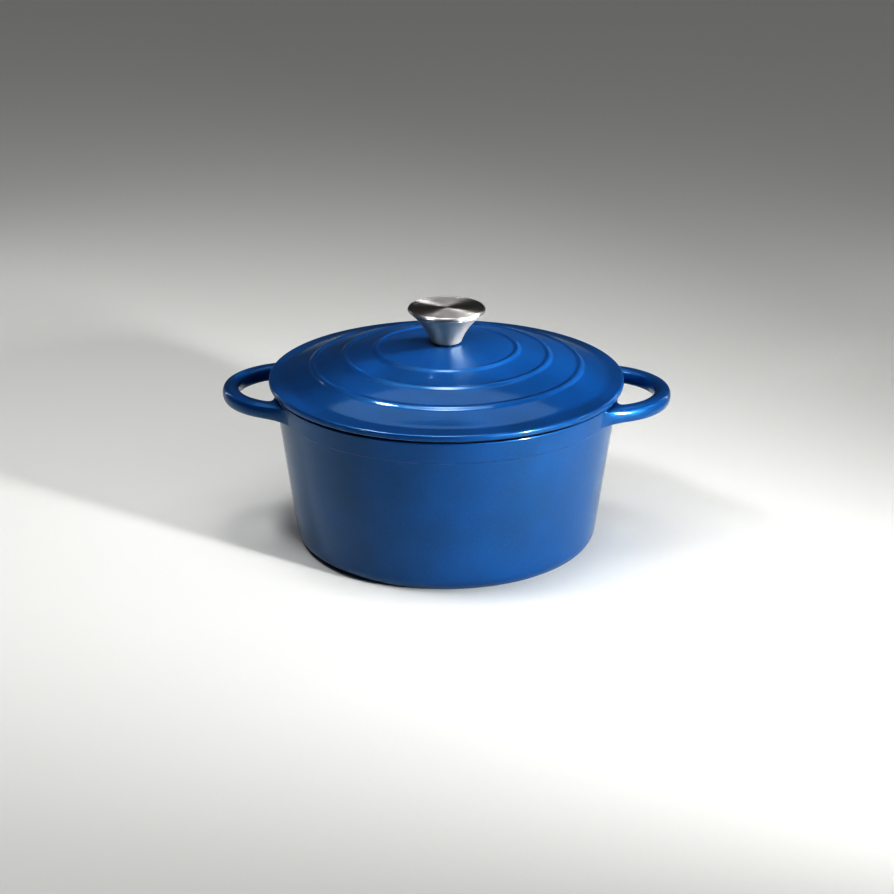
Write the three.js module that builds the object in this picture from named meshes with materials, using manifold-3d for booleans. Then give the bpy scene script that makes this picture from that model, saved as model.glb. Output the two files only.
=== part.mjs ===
// A round enamelled cast iron dutch oven: a pot with two loop handles, a domed lid with raised
// rings, and a flared steel knob held by a screw from below.
// Millimetres, +Z up. The origin is on the pot's axis, on the surface that the pot stands on.
// +X runs through the two handles.

import * as THREE from 'three';
import { mergeVertices } from 'three/addons/utils/BufferGeometryUtils.js';
import Module from 'manifold-3d';

const wasm = await Module();
wasm.setup();

// ---------------------------------------------------------------- driving dimensions

// Pot
const POT_HEIGHT = 122;
const RIM_RADIUS = 130.3; // outside of the band, at the rim
const POT_WALL = 3.6;
const POT_FLOOR = 4.5;
const WALL_TAPER = 7.5; // degrees that the side leans outwards
const BAND_HEIGHT = 15.5; // thicker collar below the rim
const BAND_PROUD = 0.8;
const RIM_ROUND = 1.2;
const OUTER_CORNER = 11; // rounding between side and base
const INNER_CORNER = 12;
const FOOT_WIDTH = 9; // flat ring that the pot stands on
const FOOT_HEIGHT = 1;

// Loop handles, cast with the pot
const HANDLE_REACH = 38.2; // from the rim to the outermost point
const HANDLE_LOOP_RADIUS = 54; // outside of the loop, from above
const HANDLE_GAP_RADIUS = 39.5; // inside of the loop, from above
const HANDLE_WIDTH = 12.5; // across the bar at the outermost point
const HANDLE_THICKNESS = 12.3;
const HANDLE_ROUND = 5;
const HANDLE_DROP = 1.6; // rim down to the handle's top
const OUTER_ROOT_FILLET = 8;
const INNER_ROOT_FILLET = 7;

// Lid
const LID_OVERHANG = 2.7; // past the rim
const LID_WALL = 3.6;
const DOME_RADIUS = 325;
const FLANGE_WIDTH = 12; // flatter margin outside the dome
const FLANGE_RISE = 1.5;
const EDGE_HEIGHT = 4.9;
const EDGE_ROUND = 1.9;
const EDGE_LIFT = 1.4; // edge above the seat that meets the rim
const LIP_DEPTH = 5.3; // locating lip inside the pot's mouth
const LIP_WIDTH = 5;
const LIP_ROUND = 1.5;
const LIP_CLEARANCE = 1;
const RING_COUNT = 3;
const RING_PITCH = 23.7;
const RING_INSET = 20.6; // flange to the outermost ring
const RING_WIDTH = 6;
const RING_CREST = 3;
const RING_HEIGHT = 1.2;
const PAD_MARGIN = 1.3; // flat on the dome, past the knob's foot

// Knob
const KNOB_HEIGHT = 26.5;
const STEM_FOOT_RADIUS = 11.2;
const STEM_FLARE_RADIUS = 15.5; // control point that bends the flare
const STEM_FLARE_HEIGHT = 12;
const STEM_CROWN = 5.5; // metal between the insert and the cap's seat
const CAP_RADIUS = 28.8;
const CAP_THICKNESS = 3.2;
const CAP_ROUND = 1.1;
const CAP_OVERHANG = 1.4; // past the stem
const CAP_LAND = 9.8; // ring of the cap's underside outside its spigot
const CAP_DISH = 0.5; // turned hollow in the cap's face
const CAP_LIP = 1.8; // raised edge round the hollow
const SPIGOT_DEPTH = 2.2;
const GASKET_INSET = 0.6; // inside the stem's foot
const GASKET_THICKNESS = 0.6;

// Fastening
const SCREW_RADIUS = 2.9;
const SCREW_CHAMFER = 1;
const SCREW_SHORT = 3; // screw's tip below the insert's top
const SCREW_HEAD_RADIUS = 6;
const SCREW_HEAD_HEIGHT = 3.6;
const SCREW_HEAD_ROUND = 1.8;
const RECESS_WIDTH = 1.4;
const RECESS_LENGTH = 6.4;
const RECESS_DEPTH = 2;
const INSERT_RADIUS = 5.5;
const FLAT_WASHER_RADIUS = 8;
const FLAT_WASHER_THICKNESS = 1.4;
const SPRING_WASHER_RADIUS = 5.6;
const SPRING_WASHER_THICKNESS = 1.6;
const SPRING_WASHER_SPLIT = 14; // degrees

// Clearances
const TOUCH = 0.3; // between pieces that rest on each other
const HOLE_CLEARANCE = 0.5; // around the screw, in the lid and the washers

// Facets around each kind of turned piece
const CASTING_FACETS = 56;
const KNOB_FACETS = 36;
const FASTENER_FACETS = 20;
const LOOP_FACETS = 20;
const FLARE_FACETS = 9;
const CORNER_FACETS = 3;
const UNDERSIDE_STEPS = 6;

// ---------------------------------------------------------------- outlines

const radians = THREE.MathUtils.degToRad;

// Points on an arc about (x, y), from one angle to another, both in radians.
function arc(x, y, radius, from, to, steps) {
  const points = [];
  for (let i = 0; i <= steps; i += 1) {
    const angle = from + ((to - from) * i) / steps;
    points.push(new THREE.Vector2(x + radius * Math.cos(angle), y + radius * Math.sin(angle)));
  }
  return points;
}

// An outline through corners given as [x, y] or [x, y, rounding].
function outline(corners) {
  const points = [];
  corners.forEach(([x, y, rounding = 0], i) => {
    const corner = new THREE.Vector2(x, y);
    if (rounding === 0) {
      points.push(corner);
      return;
    }
    const before = new THREE.Vector2(corners[i - 1][0], corners[i - 1][1]).sub(corner).normalize();
    const after = new THREE.Vector2(corners[i + 1][0], corners[i + 1][1]).sub(corner).normalize();
    const half = Math.acos(before.dot(after)) / 2;
    const middle = before.clone().add(after).normalize();
    const centre = corner.clone().addScaledVector(middle, rounding / Math.sin(half));
    const start = corner.clone().addScaledVector(before, rounding / Math.tan(half)).sub(centre);
    const end = corner.clone().addScaledVector(after, rounding / Math.tan(half)).sub(centre);
    const turn = Math.atan2(start.cross(end), start.dot(end));
    const from = start.angle();
    points.push(...arc(centre.x, centre.y, rounding, from, from + turn, CORNER_FACETS));
  });
  return points;
}

function polar(radius, angle) {
  return new THREE.Vector2(radius * Math.cos(angle), radius * Math.sin(angle));
}

function mirrored(point) {
  return new THREE.Vector2(point.x, -point.y);
}

// Where two circles centred on the X axis, at 0 and at distance, cross above it.
function crossing(distance, radiusAtOrigin, radiusAtDistance) {
  const x = (distance ** 2 + radiusAtOrigin ** 2 - radiusAtDistance ** 2) / (2 * distance);
  return new THREE.Vector2(x, Math.sqrt(radiusAtOrigin ** 2 - x ** 2));
}

// ---------------------------------------------------------------- solids

// A turned piece: the profile holds [radius, height] points and turns about +Z.
function turned(profile, facets) {
  const geometry = new THREE.LatheGeometry(profile, facets);
  geometry.rotateX(Math.PI / 2);
  return geometry;
}

// A turned piece with a hole through it: its profile closes on itself.
function turnedRing(profile, facets) {
  return turned([...profile, profile[0].clone()], facets);
}

function toSolid(geometry) {
  const bare = geometry.clone();
  bare.deleteAttribute('normal');
  bare.deleteAttribute('uv');
  const merged = mergeVertices(bare);
  const corners = merged.index.array;
  const triangles = [];
  for (let i = 0; i < corners.length; i += 3) {
    const [a, b, c] = corners.slice(i, i + 3);
    if (a !== b && b !== c && c !== a) {
      triangles.push(a, b, c);
    }
  }
  return new wasm.Manifold(
    new wasm.Mesh({
      numProp: 3,
      vertProperties: new Float32Array(merged.attributes.position.array),
      triVerts: new Uint32Array(triangles),
    }),
  );
}

function toGeometry(solid) {
  const mesh = solid.getMesh();
  const geometry = new THREE.BufferGeometry();
  geometry.setAttribute('position', new THREE.BufferAttribute(mesh.vertProperties, 3));
  geometry.setIndex(new THREE.BufferAttribute(mesh.triVerts, 1));
  geometry.computeVertexNormals();
  return geometry;
}

// ---------------------------------------------------------------- levels and fits

const taper = Math.tan(radians(WALL_TAPER));
const wallRadius = (z) => RIM_RADIUS - BAND_PROUD - taper * (POT_HEIGHT - z);
const mouthRadius = (z) => wallRadius(z) - POT_WALL;

const seatZ = POT_HEIGHT + TOUCH;
const lidRadius = RIM_RADIUS + LID_OVERHANG;
const edgeBottomZ = seatZ + EDGE_LIFT;
const edgeTopZ = edgeBottomZ + EDGE_HEIGHT;
const flangeRadius = lidRadius - FLANGE_WIDTH;
const flangeZ = edgeTopZ + FLANGE_RISE;
const domeCentreZ = flangeZ - Math.sqrt(DOME_RADIUS ** 2 - flangeRadius ** 2);
const domeZ = (radius, depth = 0) => domeCentreZ + Math.sqrt((DOME_RADIUS - depth) ** 2 - radius ** 2);

const padRadius = STEM_FOOT_RADIUS + PAD_MARGIN;
const padZ = domeZ(padRadius);
const padUndersideZ = domeZ(padRadius, LID_WALL);
const gasketZ = padZ + TOUCH;
const stemZ = gasketZ + GASKET_THICKNESS + TOUCH;
const capTopZ = stemZ + KNOB_HEIGHT;
const capZ = capTopZ - CAP_THICKNESS;
const stemTopZ = capZ - TOUCH;
const spigotZ = capZ - SPIGOT_DEPTH;
const spigotRadius = CAP_RADIUS - CAP_LAND;
const insertTopZ = spigotZ - TOUCH - STEM_CROWN - TOUCH;

const flatWasherZ = padUndersideZ - TOUCH - FLAT_WASHER_THICKNESS;
const springWasherZ = flatWasherZ - TOUCH - SPRING_WASHER_THICKNESS;
const screwShoulderZ = springWasherZ - TOUCH;
const screwHoleRadius = SCREW_RADIUS + HOLE_CLEARANCE;

// ---------------------------------------------------------------- pot

function potBody() {
  const bandZ = POT_HEIGHT - BAND_HEIGHT;
  const footRadius = wallRadius(0) - OUTER_CORNER / Math.tan(radians(90 + WALL_TAPER) / 2);
  const profile = outline([
    [0, FOOT_HEIGHT],
    [footRadius - FOOT_WIDTH - FOOT_HEIGHT, FOOT_HEIGHT],
    [footRadius - FOOT_WIDTH, 0],
    [wallRadius(0), 0, OUTER_CORNER],
    [wallRadius(bandZ - BAND_PROUD), bandZ - BAND_PROUD],
    [wallRadius(bandZ) + BAND_PROUD, bandZ],
    [RIM_RADIUS, POT_HEIGHT, RIM_ROUND],
    [0, POT_HEIGHT],
  ]);
  return turned(profile, CASTING_FACETS);
}

// The hollow: it runs out past the rim, so that the mouth is cut clean.
function potHollow() {
  const mouthZ = POT_HEIGHT + RIM_ROUND;
  const profile = outline([
    [0, POT_FLOOR],
    [mouthRadius(POT_FLOOR), POT_FLOOR, INNER_CORNER],
    [mouthRadius(mouthZ), mouthZ],
    [0, mouthZ],
  ]);
  return turned(profile, CASTING_FACETS);
}

// One loop seen from above, a D that is round outside and inside, with its roots faired into the
// wall. It is raised to the handle's thickness with rounded edges.
function loopHandle() {
  const topZ = POT_HEIGHT - HANDLE_DROP;
  const bottomZ = topZ - HANDLE_THICKNESS;
  const faceRadius = wallRadius(bottomZ) + BAND_PROUD;
  const buriedRadius = mouthRadius(bottomZ) - HANDLE_ROUND;
  const loopX = RIM_RADIUS + HANDLE_REACH - HANDLE_LOOP_RADIUS;
  const gapX = loopX + HANDLE_LOOP_RADIUS - HANDLE_WIDTH - HANDLE_GAP_RADIUS;

  const outerFillet = crossing(
    loopX,
    faceRadius + OUTER_ROOT_FILLET,
    HANDLE_LOOP_RADIUS + OUTER_ROOT_FILLET,
  );
  const wallAngle = outerFillet.angle();
  const loopAngle = Math.atan2(outerFillet.y, outerFillet.x - loopX);
  const half = [
    ...arc(loopX, 0, HANDLE_LOOP_RADIUS, 0, loopAngle, LOOP_FACETS / 2).slice(1),
    ...arc(
      outerFillet.x,
      outerFillet.y,
      OUTER_ROOT_FILLET,
      loopAngle - Math.PI,
      wallAngle - Math.PI,
      CORNER_FACETS,
    ).slice(1),
    polar(buriedRadius, wallAngle),
  ];
  const tip = new THREE.Vector2(loopX + HANDLE_LOOP_RADIUS, 0);
  const plan = new THREE.Shape([...half.map(mirrored).reverse(), tip, ...half]);

  const innerFillet = crossing(
    gapX,
    faceRadius + INNER_ROOT_FILLET,
    HANDLE_GAP_RADIUS - INNER_ROOT_FILLET,
  );
  const gapWallAngle = innerFillet.angle();
  const gapAngle = Math.atan2(innerFillet.y, innerFillet.x - gapX);
  const gapHalf = [
    ...arc(gapX, 0, HANDLE_GAP_RADIUS, 0, gapAngle, LOOP_FACETS / 2).slice(1),
    ...arc(
      innerFillet.x,
      innerFillet.y,
      INNER_ROOT_FILLET,
      gapAngle,
      gapWallAngle + Math.PI,
      CORNER_FACETS,
    ).slice(1),
    polar(mouthRadius(bottomZ), gapWallAngle),
  ];
  const gapTip = new THREE.Vector2(gapX + HANDLE_GAP_RADIUS, 0);
  plan.holes.push(new THREE.Path([...gapHalf.map(mirrored).reverse(), gapTip, ...gapHalf]));

  const geometry = new THREE.ExtrudeGeometry(plan, {
    depth: HANDLE_THICKNESS - 2 * HANDLE_ROUND,
    bevelThickness: HANDLE_ROUND,
    bevelSize: HANDLE_ROUND,
    bevelOffset: -HANDLE_ROUND,
    bevelSegments: CORNER_FACETS,
  });
  geometry.translate(0, 0, bottomZ + HANDLE_ROUND);
  return geometry;
}

function pot() {
  const right = loopHandle();
  const left = right.clone().rotateZ(Math.PI);
  const casting = toSolid(potBody()).add(toSolid(right)).add(toSolid(left));
  return toGeometry(casting.subtract(toSolid(potHollow())));
}

// ---------------------------------------------------------------- lid

// Rounded bead that stands on the dome at this radius, from its outer foot to its inner one.
function ringBead(radius) {
  const foot = RING_WIDTH / 2;
  const crest = RING_CREST / 2;
  return [
    new THREE.Vector2(radius + foot, domeZ(radius + foot)),
    new THREE.Vector2(radius + crest, domeZ(radius + crest) + RING_HEIGHT),
    new THREE.Vector2(radius - crest, domeZ(radius - crest) + RING_HEIGHT),
    new THREE.Vector2(radius - foot, domeZ(radius - foot)),
  ];
}

function lid() {
  const lipZ = seatZ - LIP_DEPTH;
  const lipRadius = mouthRadius(lipZ) - LIP_CLEARANCE;
  const lipInnerRadius = lipRadius - LIP_WIDTH;
  const hollowRadius = lipInnerRadius - LID_WALL;

  const underside = [new THREE.Vector2(screwHoleRadius, padUndersideZ)];
  for (let i = 0; i <= UNDERSIDE_STEPS; i += 1) {
    const radius = padRadius + ((hollowRadius - padRadius) * i) / UNDERSIDE_STEPS;
    underside.push(new THREE.Vector2(radius, domeZ(radius, LID_WALL)));
  }

  const margin = outline([
    [hollowRadius, domeZ(hollowRadius, LID_WALL)],
    [lipInnerRadius, lipZ, LIP_ROUND],
    [lipRadius, lipZ, LIP_ROUND],
    [mouthRadius(seatZ) - LIP_CLEARANCE, seatZ],
    [RIM_RADIUS - EDGE_LIFT, seatZ],
    [RIM_RADIUS, edgeBottomZ],
    [lidRadius, edgeBottomZ, EDGE_ROUND],
    [lidRadius, edgeTopZ, EDGE_ROUND],
    [flangeRadius, flangeZ],
  ]).slice(1);

  const crown = [];
  for (let i = 0; i < RING_COUNT; i += 1) {
    const radius = flangeRadius - RING_INSET - RING_PITCH * i;
    crown.push(new THREE.Vector2(radius + RING_PITCH / 2, domeZ(radius + RING_PITCH / 2)));
    crown.push(...ringBead(radius));
  }
  const innermost = flangeRadius - RING_INSET - RING_PITCH * (RING_COUNT - 1);
  const centre = (innermost + padRadius) / 2;
  crown.push(new THREE.Vector2(centre, domeZ(centre)));
  crown.push(new THREE.Vector2(padRadius, padZ));
  crown.push(new THREE.Vector2(screwHoleRadius, padZ));

  return turnedRing([...underside, ...margin, ...crown], CASTING_FACETS);
}

// ---------------------------------------------------------------- knob

function knobStem() {
  const flare = new THREE.QuadraticBezierCurve(
    new THREE.Vector2(STEM_FOOT_RADIUS, stemZ),
    new THREE.Vector2(STEM_FLARE_RADIUS, stemZ + STEM_FLARE_HEIGHT),
    new THREE.Vector2(CAP_RADIUS - CAP_OVERHANG, stemTopZ),
  );
  const boreRadius = INSERT_RADIUS + TOUCH;
  const boreTopZ = insertTopZ + TOUCH;
  const seatRadius = spigotRadius + TOUCH;
  const seatFloorZ = spigotZ - TOUCH;
  const profile = [
    new THREE.Vector2(0, boreTopZ),
    new THREE.Vector2(boreRadius, boreTopZ),
    new THREE.Vector2(boreRadius, stemZ),
    ...flare.getPoints(FLARE_FACETS),
    new THREE.Vector2(seatRadius, stemTopZ),
    new THREE.Vector2(seatRadius, seatFloorZ),
    new THREE.Vector2(0, seatFloorZ),
  ];
  return turned(profile, KNOB_FACETS);
}

function knobCap() {
  const dishRadius = CAP_RADIUS - CAP_LIP;
  const profile = outline([
    [0, spigotZ],
    [spigotRadius, spigotZ],
    [spigotRadius, capZ],
    [CAP_RADIUS, capZ, CAP_ROUND],
    [CAP_RADIUS, capTopZ, CAP_ROUND],
    [dishRadius, capTopZ],
    [dishRadius - CAP_DISH, capTopZ - CAP_DISH],
    [0, capTopZ - CAP_DISH],
  ]);
  return turned(profile, KNOB_FACETS);
}

function ringSection(innerRadius, outerRadius, bottomZ, topZ) {
  return outline([
    [innerRadius, bottomZ],
    [outerRadius, bottomZ],
    [outerRadius, topZ],
    [innerRadius, topZ],
  ]);
}

function knobInsert() {
  const bore = SCREW_RADIUS + TOUCH;
  const section = ringSection(bore, INSERT_RADIUS, stemZ, insertTopZ);
  return turnedRing(section, FASTENER_FACETS);
}

function knobGasket() {
  const radius = STEM_FOOT_RADIUS - GASKET_INSET;
  const section = ringSection(screwHoleRadius, radius, gasketZ, gasketZ + GASKET_THICKNESS);
  return turnedRing(section, KNOB_FACETS);
}

// ---------------------------------------------------------------- fastening

function flatWasher() {
  const topZ = flatWasherZ + FLAT_WASHER_THICKNESS;
  const section = ringSection(screwHoleRadius, FLAT_WASHER_RADIUS, flatWasherZ, topZ);
  return turnedRing(section, FASTENER_FACETS);
}

function springWasher() {
  const from = radians(SPRING_WASHER_SPLIT / 2);
  const to = 2 * Math.PI - from;
  const plan = new THREE.Shape([
    ...arc(0, 0, SPRING_WASHER_RADIUS, from, to, FASTENER_FACETS),
    ...arc(0, 0, screwHoleRadius, to, from, FASTENER_FACETS),
  ]);
  const geometry = new THREE.ExtrudeGeometry(plan, {
    depth: SPRING_WASHER_THICKNESS,
    bevelEnabled: false,
  });
  geometry.translate(0, 0, springWasherZ);
  return geometry;
}

function knobScrew() {
  const headZ = screwShoulderZ - SCREW_HEAD_HEIGHT;
  const tipZ = insertTopZ - SCREW_SHORT;
  const blank = turned(
    outline([
      [0, headZ],
      [SCREW_HEAD_RADIUS, headZ, SCREW_HEAD_ROUND],
      [SCREW_HEAD_RADIUS, screwShoulderZ],
      [SCREW_RADIUS, screwShoulderZ],
      [SCREW_RADIUS, tipZ - SCREW_CHAMFER],
      [SCREW_RADIUS - SCREW_CHAMFER, tipZ],
      [0, tipZ],
    ]),
    FASTENER_FACETS,
  );
  // The cross recess is cut from well below the head, so that its mouth is open.
  const cutter = new THREE.BoxGeometry(RECESS_LENGTH, RECESS_WIDTH, 2 * RECESS_DEPTH);
  const along = cutter.clone().translate(0, 0, headZ);
  const across = cutter.clone().rotateZ(Math.PI / 2).translate(0, 0, headZ);
  return toGeometry(toSolid(blank).subtract(toSolid(along).add(toSolid(across))));
}

// ---------------------------------------------------------------- materials and assembly

const enamel = { color: 0x0b3f86, roughness: 0.18, metalness: 0 };
const turnedSteel = { color: 0xb9bbbe, roughness: 0.32, metalness: 1 };
const platedSteel = { color: 0xa9abad, roughness: 0.35, metalness: 1 };
const silicone = { color: 0x16171a, roughness: 0.7, metalness: 0 };

function piece(name, geometry, finish) {
  const mesh = new THREE.Mesh(geometry, new THREE.MeshStandardMaterial(finish));
  mesh.name = name;
  return mesh;
}

const knob = new THREE.Group();
knob.add(piece('knob_stem', knobStem(), turnedSteel));
knob.add(piece('knob_cap', knobCap(), turnedSteel));
knob.add(piece('knob_insert', knobInsert(), platedSteel));
knob.add(piece('knob_gasket', knobGasket(), silicone));
knob.add(piece('flat_washer', flatWasher(), platedSteel));
knob.add(piece('spring_washer', springWasher(), platedSteel));
knob.add(piece('knob_screw', knobScrew(), platedSteel));

const cover = new THREE.Group();
cover.add(piece('lid', lid(), enamel));
cover.add(knob);

const group = new THREE.Group();
group.add(piece('pot', pot(), enamel));
group.add(cover);

export default group;
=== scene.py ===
"""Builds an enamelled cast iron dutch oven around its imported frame, in a plain studio.

The sizes that pieces share come from the frame. The rest are the add-on's own settings.
"""

import math

import bmesh
import bpy
from bpy.props import FloatProperty, FloatVectorProperty, IntProperty, PointerProperty
from mathutils import Euler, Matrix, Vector


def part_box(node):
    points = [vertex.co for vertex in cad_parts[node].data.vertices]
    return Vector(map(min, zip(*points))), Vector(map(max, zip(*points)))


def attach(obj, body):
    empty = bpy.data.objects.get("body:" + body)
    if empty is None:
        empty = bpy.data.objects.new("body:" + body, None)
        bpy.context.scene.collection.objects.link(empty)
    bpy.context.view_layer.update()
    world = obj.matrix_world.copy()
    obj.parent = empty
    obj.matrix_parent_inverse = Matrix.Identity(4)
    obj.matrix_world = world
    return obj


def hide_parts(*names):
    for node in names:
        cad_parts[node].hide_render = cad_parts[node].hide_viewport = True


bl_info = {
    "name": "Dutch Oven",
    "version": (1, 0, 0),
    "blender": (4, 5, 0),
    "location": "3D View > Sidebar > Dutch Oven",
    "description": "Builds an enamelled cast iron dutch oven and its studio",
    "category": "Add Mesh",
}

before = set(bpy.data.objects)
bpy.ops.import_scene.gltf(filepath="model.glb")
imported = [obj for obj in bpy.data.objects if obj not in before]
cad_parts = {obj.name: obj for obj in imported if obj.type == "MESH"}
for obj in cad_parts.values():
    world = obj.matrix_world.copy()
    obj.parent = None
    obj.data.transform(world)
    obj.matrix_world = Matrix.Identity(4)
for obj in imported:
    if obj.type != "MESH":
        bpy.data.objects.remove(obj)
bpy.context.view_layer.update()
_, POT_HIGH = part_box("pot")
LID_LOW, LID_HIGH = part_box("lid")
STEM_LOW, STEM_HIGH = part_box("knob_stem")
CAP_LOW, CAP_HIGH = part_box("knob_cap")
INSERT_LOW, INSERT_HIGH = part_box("knob_insert")
GASKET_LOW, GASKET_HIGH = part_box("knob_gasket")
WASHER_LOW, WASHER_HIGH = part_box("flat_washer")
SPRING_LOW, SPRING_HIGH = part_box("spring_washer")
SCREW_LOW, SCREW_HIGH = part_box("knob_screw")

MM = 0.001
AXIS = 1e-7  # a radius below this is a single point on the pot's axis


# ---------------- settings


def length(name, description, default):
    """A size in millimetres, as a property in metres."""
    return FloatProperty(
        name=name, description=description, default=default * MM, min=0.0, unit="LENGTH"
    )


def angle(name, description, default):
    """An angle in degrees, as a property in radians."""
    return FloatProperty(
        name=name, description=description, default=math.radians(default), unit="ROTATION"
    )


def linear(code):
    """An sRGB hex colour as linear red, green, blue."""
    channels = [int(code[i : i + 2], 16) / 255 for i in (1, 3, 5)]
    return tuple(c / 12.92 if c <= 0.04045 else ((c + 0.055) / 1.055) ** 2.4 for c in channels)


def colour(name, description, code):
    """A colour property that starts from an sRGB hex value."""
    return FloatVectorProperty(
        name=name, description=description, default=linear(code),
        size=3, min=0.0, max=1.0, subtype="COLOR",
    )


class PotSettings(bpy.types.PropertyGroup):
    """Sizes of the pot's casting."""

    wall: length("Wall", "Thickness of the side", 3.6)
    floor: length("Floor", "Thickness of the bottom", 4.5)
    taper: angle("Taper", "How far the side leans outwards", 7.5)
    band_height: length("Band height", "Height of the collar below the rim", 15.5)
    band_proud: length("Band proud", "How far the collar stands out", 0.8)
    rim_round: length("Rim rounding", "Rounding of the rim's outer edge", 1.2)
    outer_corner: length("Outer corner", "Rounding between side and base", 11.0)
    inner_corner: length("Inner corner", "Rounding between side and floor, inside", 12.0)
    foot_width: length("Foot width", "Width of the ring that the pot stands on", 9.0)
    foot_height: length("Foot height", "Depth of the hollow inside the foot ring", 1.0)
    loop_radius: length("Loop radius", "Outside radius of a handle, from above", 54.0)
    gap_radius: length("Gap radius", "Inside radius of a handle, from above", 39.5)
    bar_width: length("Bar width", "Width of a handle at its outermost point", 12.5)
    bar_thickness: length("Bar thickness", "Height of a handle", 12.3)
    handle_drop: length("Handle drop", "From the rim down to a handle's top", 1.6)


class LidSettings(bpy.types.PropertyGroup):
    """Sizes of the lid's casting."""

    wall: length("Wall", "Thickness of the dome", 3.6)
    dome_radius: length("Dome radius", "Radius of the sphere that the dome is cut from", 325.0)
    flange_width: length("Flange width", "Flatter margin outside the dome", 12.0)
    flange_rise: length("Flange rise", "Height of the flange's inner edge over its outer one", 1.5)
    edge_height: length("Edge height", "Height of the lid's edge", 4.9)
    edge_round: length("Edge rounding", "Rounding of the lid's edge", 1.9)
    edge_lift: length("Edge lift", "Edge above the seat that meets the rim", 1.4)
    seat_gap: length("Seat gap", "Gap between seat and rim", 0.3)
    lip_width: length("Lip width", "Width of the lip inside the pot's mouth", 5.0)
    lip_clearance: length("Lip clearance", "Gap between lip and mouth", 1.0)
    ring_count: IntProperty(
        name="Rings", description="Number of raised rings", default=3, min=0, max=4
    )
    ring_pitch: length("Ring pitch", "Distance from ring to ring", 23.7)
    ring_inset: length("Ring inset", "From the flange to the outermost ring", 20.6)
    ring_width: length("Ring width", "Width of a raised ring", 7.0)
    ring_height: length("Ring height", "Height of a raised ring", 1.25)
    hole_radius: length("Hole radius", "Radius of the screw hole", 3.4)


class KnobSettings(bpy.types.PropertyGroup):
    """Sizes of the knob and its fastening."""

    flare_radius: length("Flare radius", "Control point that bends the flare", 15.5)
    flare_height: length("Flare height", "Height of that point over the knob's foot", 12.0)
    cap_thickness: length("Cap thickness", "Thickness of the cap at its edge", 3.2)
    cap_round: length("Cap rounding", "Rounding of the cap's edge", 1.5)
    cap_land: length("Cap land", "Cap's underside outside its spigot", 9.8)
    cap_dish: length("Cap dish", "Depth of the turned hollow in the cap's face", 0.25)
    touch: length("Touch", "Gap between pieces that rest on each other", 0.3)
    foot_radius: length("Foot radius", "Radius of the knob where it meets the lid", 11.2)
    screw_radius: length("Screw radius", "Radius of the screw's shank", 2.9)
    thread_pitch: length("Thread pitch", "Pitch of the screw's thread", 1.0)
    thread_depth: length("Thread depth", "Depth of the screw's thread", 0.5)
    split: angle("Split", "Opening of the spring washer", 14.0)


class FinishSettings(bpy.types.PropertyGroup):
    """Colours of the finishes."""

    enamel: colour("Enamel", "Outside of the castings", "#053e6c")
    enamel_deep: colour("Deep enamel", "Where the enamel lies thicker", "#04355c")
    # Lighter blue for the speckle and for convex edges; on the edges it is partly thin enamel and
    # partly a painted highlight.
    enamel_thin_and_edge_highlight: colour("Thin enamel", "Where the enamel pulls thin over edges", "#2768a6")
    enamel_sheen: colour("Enamel sheen", "Soft reflections off the pigment", "#62b2ee")
    lining: colour("Lining", "Inside of the pot and of the lid", "#e9e4d8")
    lining_deep: colour("Deep lining", "Where the lining lies thicker", "#e3dccd")
    ground_coat: colour("Ground coat", "Matt enamel on seats and foot ring", "#1b1c20")
    ground_worn: colour("Worn ground coat", "Where the matt enamel is rubbed", "#3a3b40")
    cap_steel: colour("Cap steel", "Faced stainless steel of the knob's cap", "#b8b6b4")
    # Warm tint painted in to cancel the lid's blue reflection in the stem; the steel itself is
    # neutral.
    stem_steel_warmed_against_reflection: colour("Stem steel", "Turned stainless steel of the knob's stem", "#d3c5b1")
    steel_groove: colour("Steel grooves", "Between the turning lines", "#9e9c9b")
    zinc: colour("Zinc", "Plated screw and washers", "#b9bbbd")
    zinc_dull: colour("Dull zinc", "Clouded patches of the plating", "#9a9ca0")
    silicone: colour("Silicone", "Gasket under the knob", "#121214")
    silicone_light: colour("Silicone grain", "Lighter grain of the gasket", "#1d1d20")


class StudioSettings(bpy.types.PropertyGroup):
    """The camera, the floor and the lights."""

    distance: length("Distance", "Level distance from the camera to the pot's axis", 1497.0)
    height: length("Height", "Height of the camera over the floor", 647.9)
    turn: angle("Turn", "Camera's turn round the pot, towards the right-hand handle", 1.2)
    pitch: angle("Pitch", "How far the camera looks down", 21.125)
    roll: angle("Roll", "Tilt of the camera about its own axis", 0.14)
    lens: FloatProperty(name="Lens", description="Focal length", default=84.96, unit="CAMERA")
    shift: FloatProperty(name="Shift", description="Sideways lens shift", default=0.0009)
    floor_size: length("Floor size", "Side of the floor", 60000.0)
    floor_colour: colour("Floor", "Plain pale floor", "#c9c9c7")
    floor_light: colour("Floor grain", "Lighter grain of the floor", "#ccccca")
    world: FloatProperty(
        name="World", description="Strength of the even light all round", default=0.06
    )


# ---------------- outlines


def arc(centre, radius, start, turn, steps):
    """Points on an arc, from the start angle through a turn."""
    angles = [start + turn * i / steps for i in range(steps + 1)]
    return [(centre[0] + radius * math.cos(a), centre[1] + radius * math.sin(a)) for a in angles]


def between(start, end, steps):
    """Points inside the straight run from start to end, without its ends."""
    return [tuple(Vector(start).lerp(Vector(end), i / steps)) for i in range(1, steps)]


def rounded(corners, steps=8):
    """One list of points for each corner (x, y) or (x, y, rounding)."""
    found = []
    for i, corner in enumerate(corners):
        here = Vector(corner[:2])
        rounding = corner[2] if len(corner) > 2 else 0
        if rounding == 0:
            found.append([tuple(here)])
            continue
        before = (Vector(corners[i - 1][:2]) - here).normalized()
        after = (Vector(corners[i + 1][:2]) - here).normalized()
        half = before.angle(after) / 2
        centre = here + (before + after).normalized() * (rounding / math.sin(half))
        start = here + before * (rounding / math.tan(half)) - centre
        end = here + after * (rounding / math.tan(half)) - centre
        turn = math.atan2(start.x * end.y - start.y * end.x, start.dot(end))
        found.append(arc(centre, rounding, math.atan2(start.y, start.x), turn, steps))
    return found


def outline(corners, steps=8):
    """All the points of a rounded outline, in one list."""
    return [point for group in rounded(corners, steps) for point in group]


# ---------------- meshes


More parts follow.
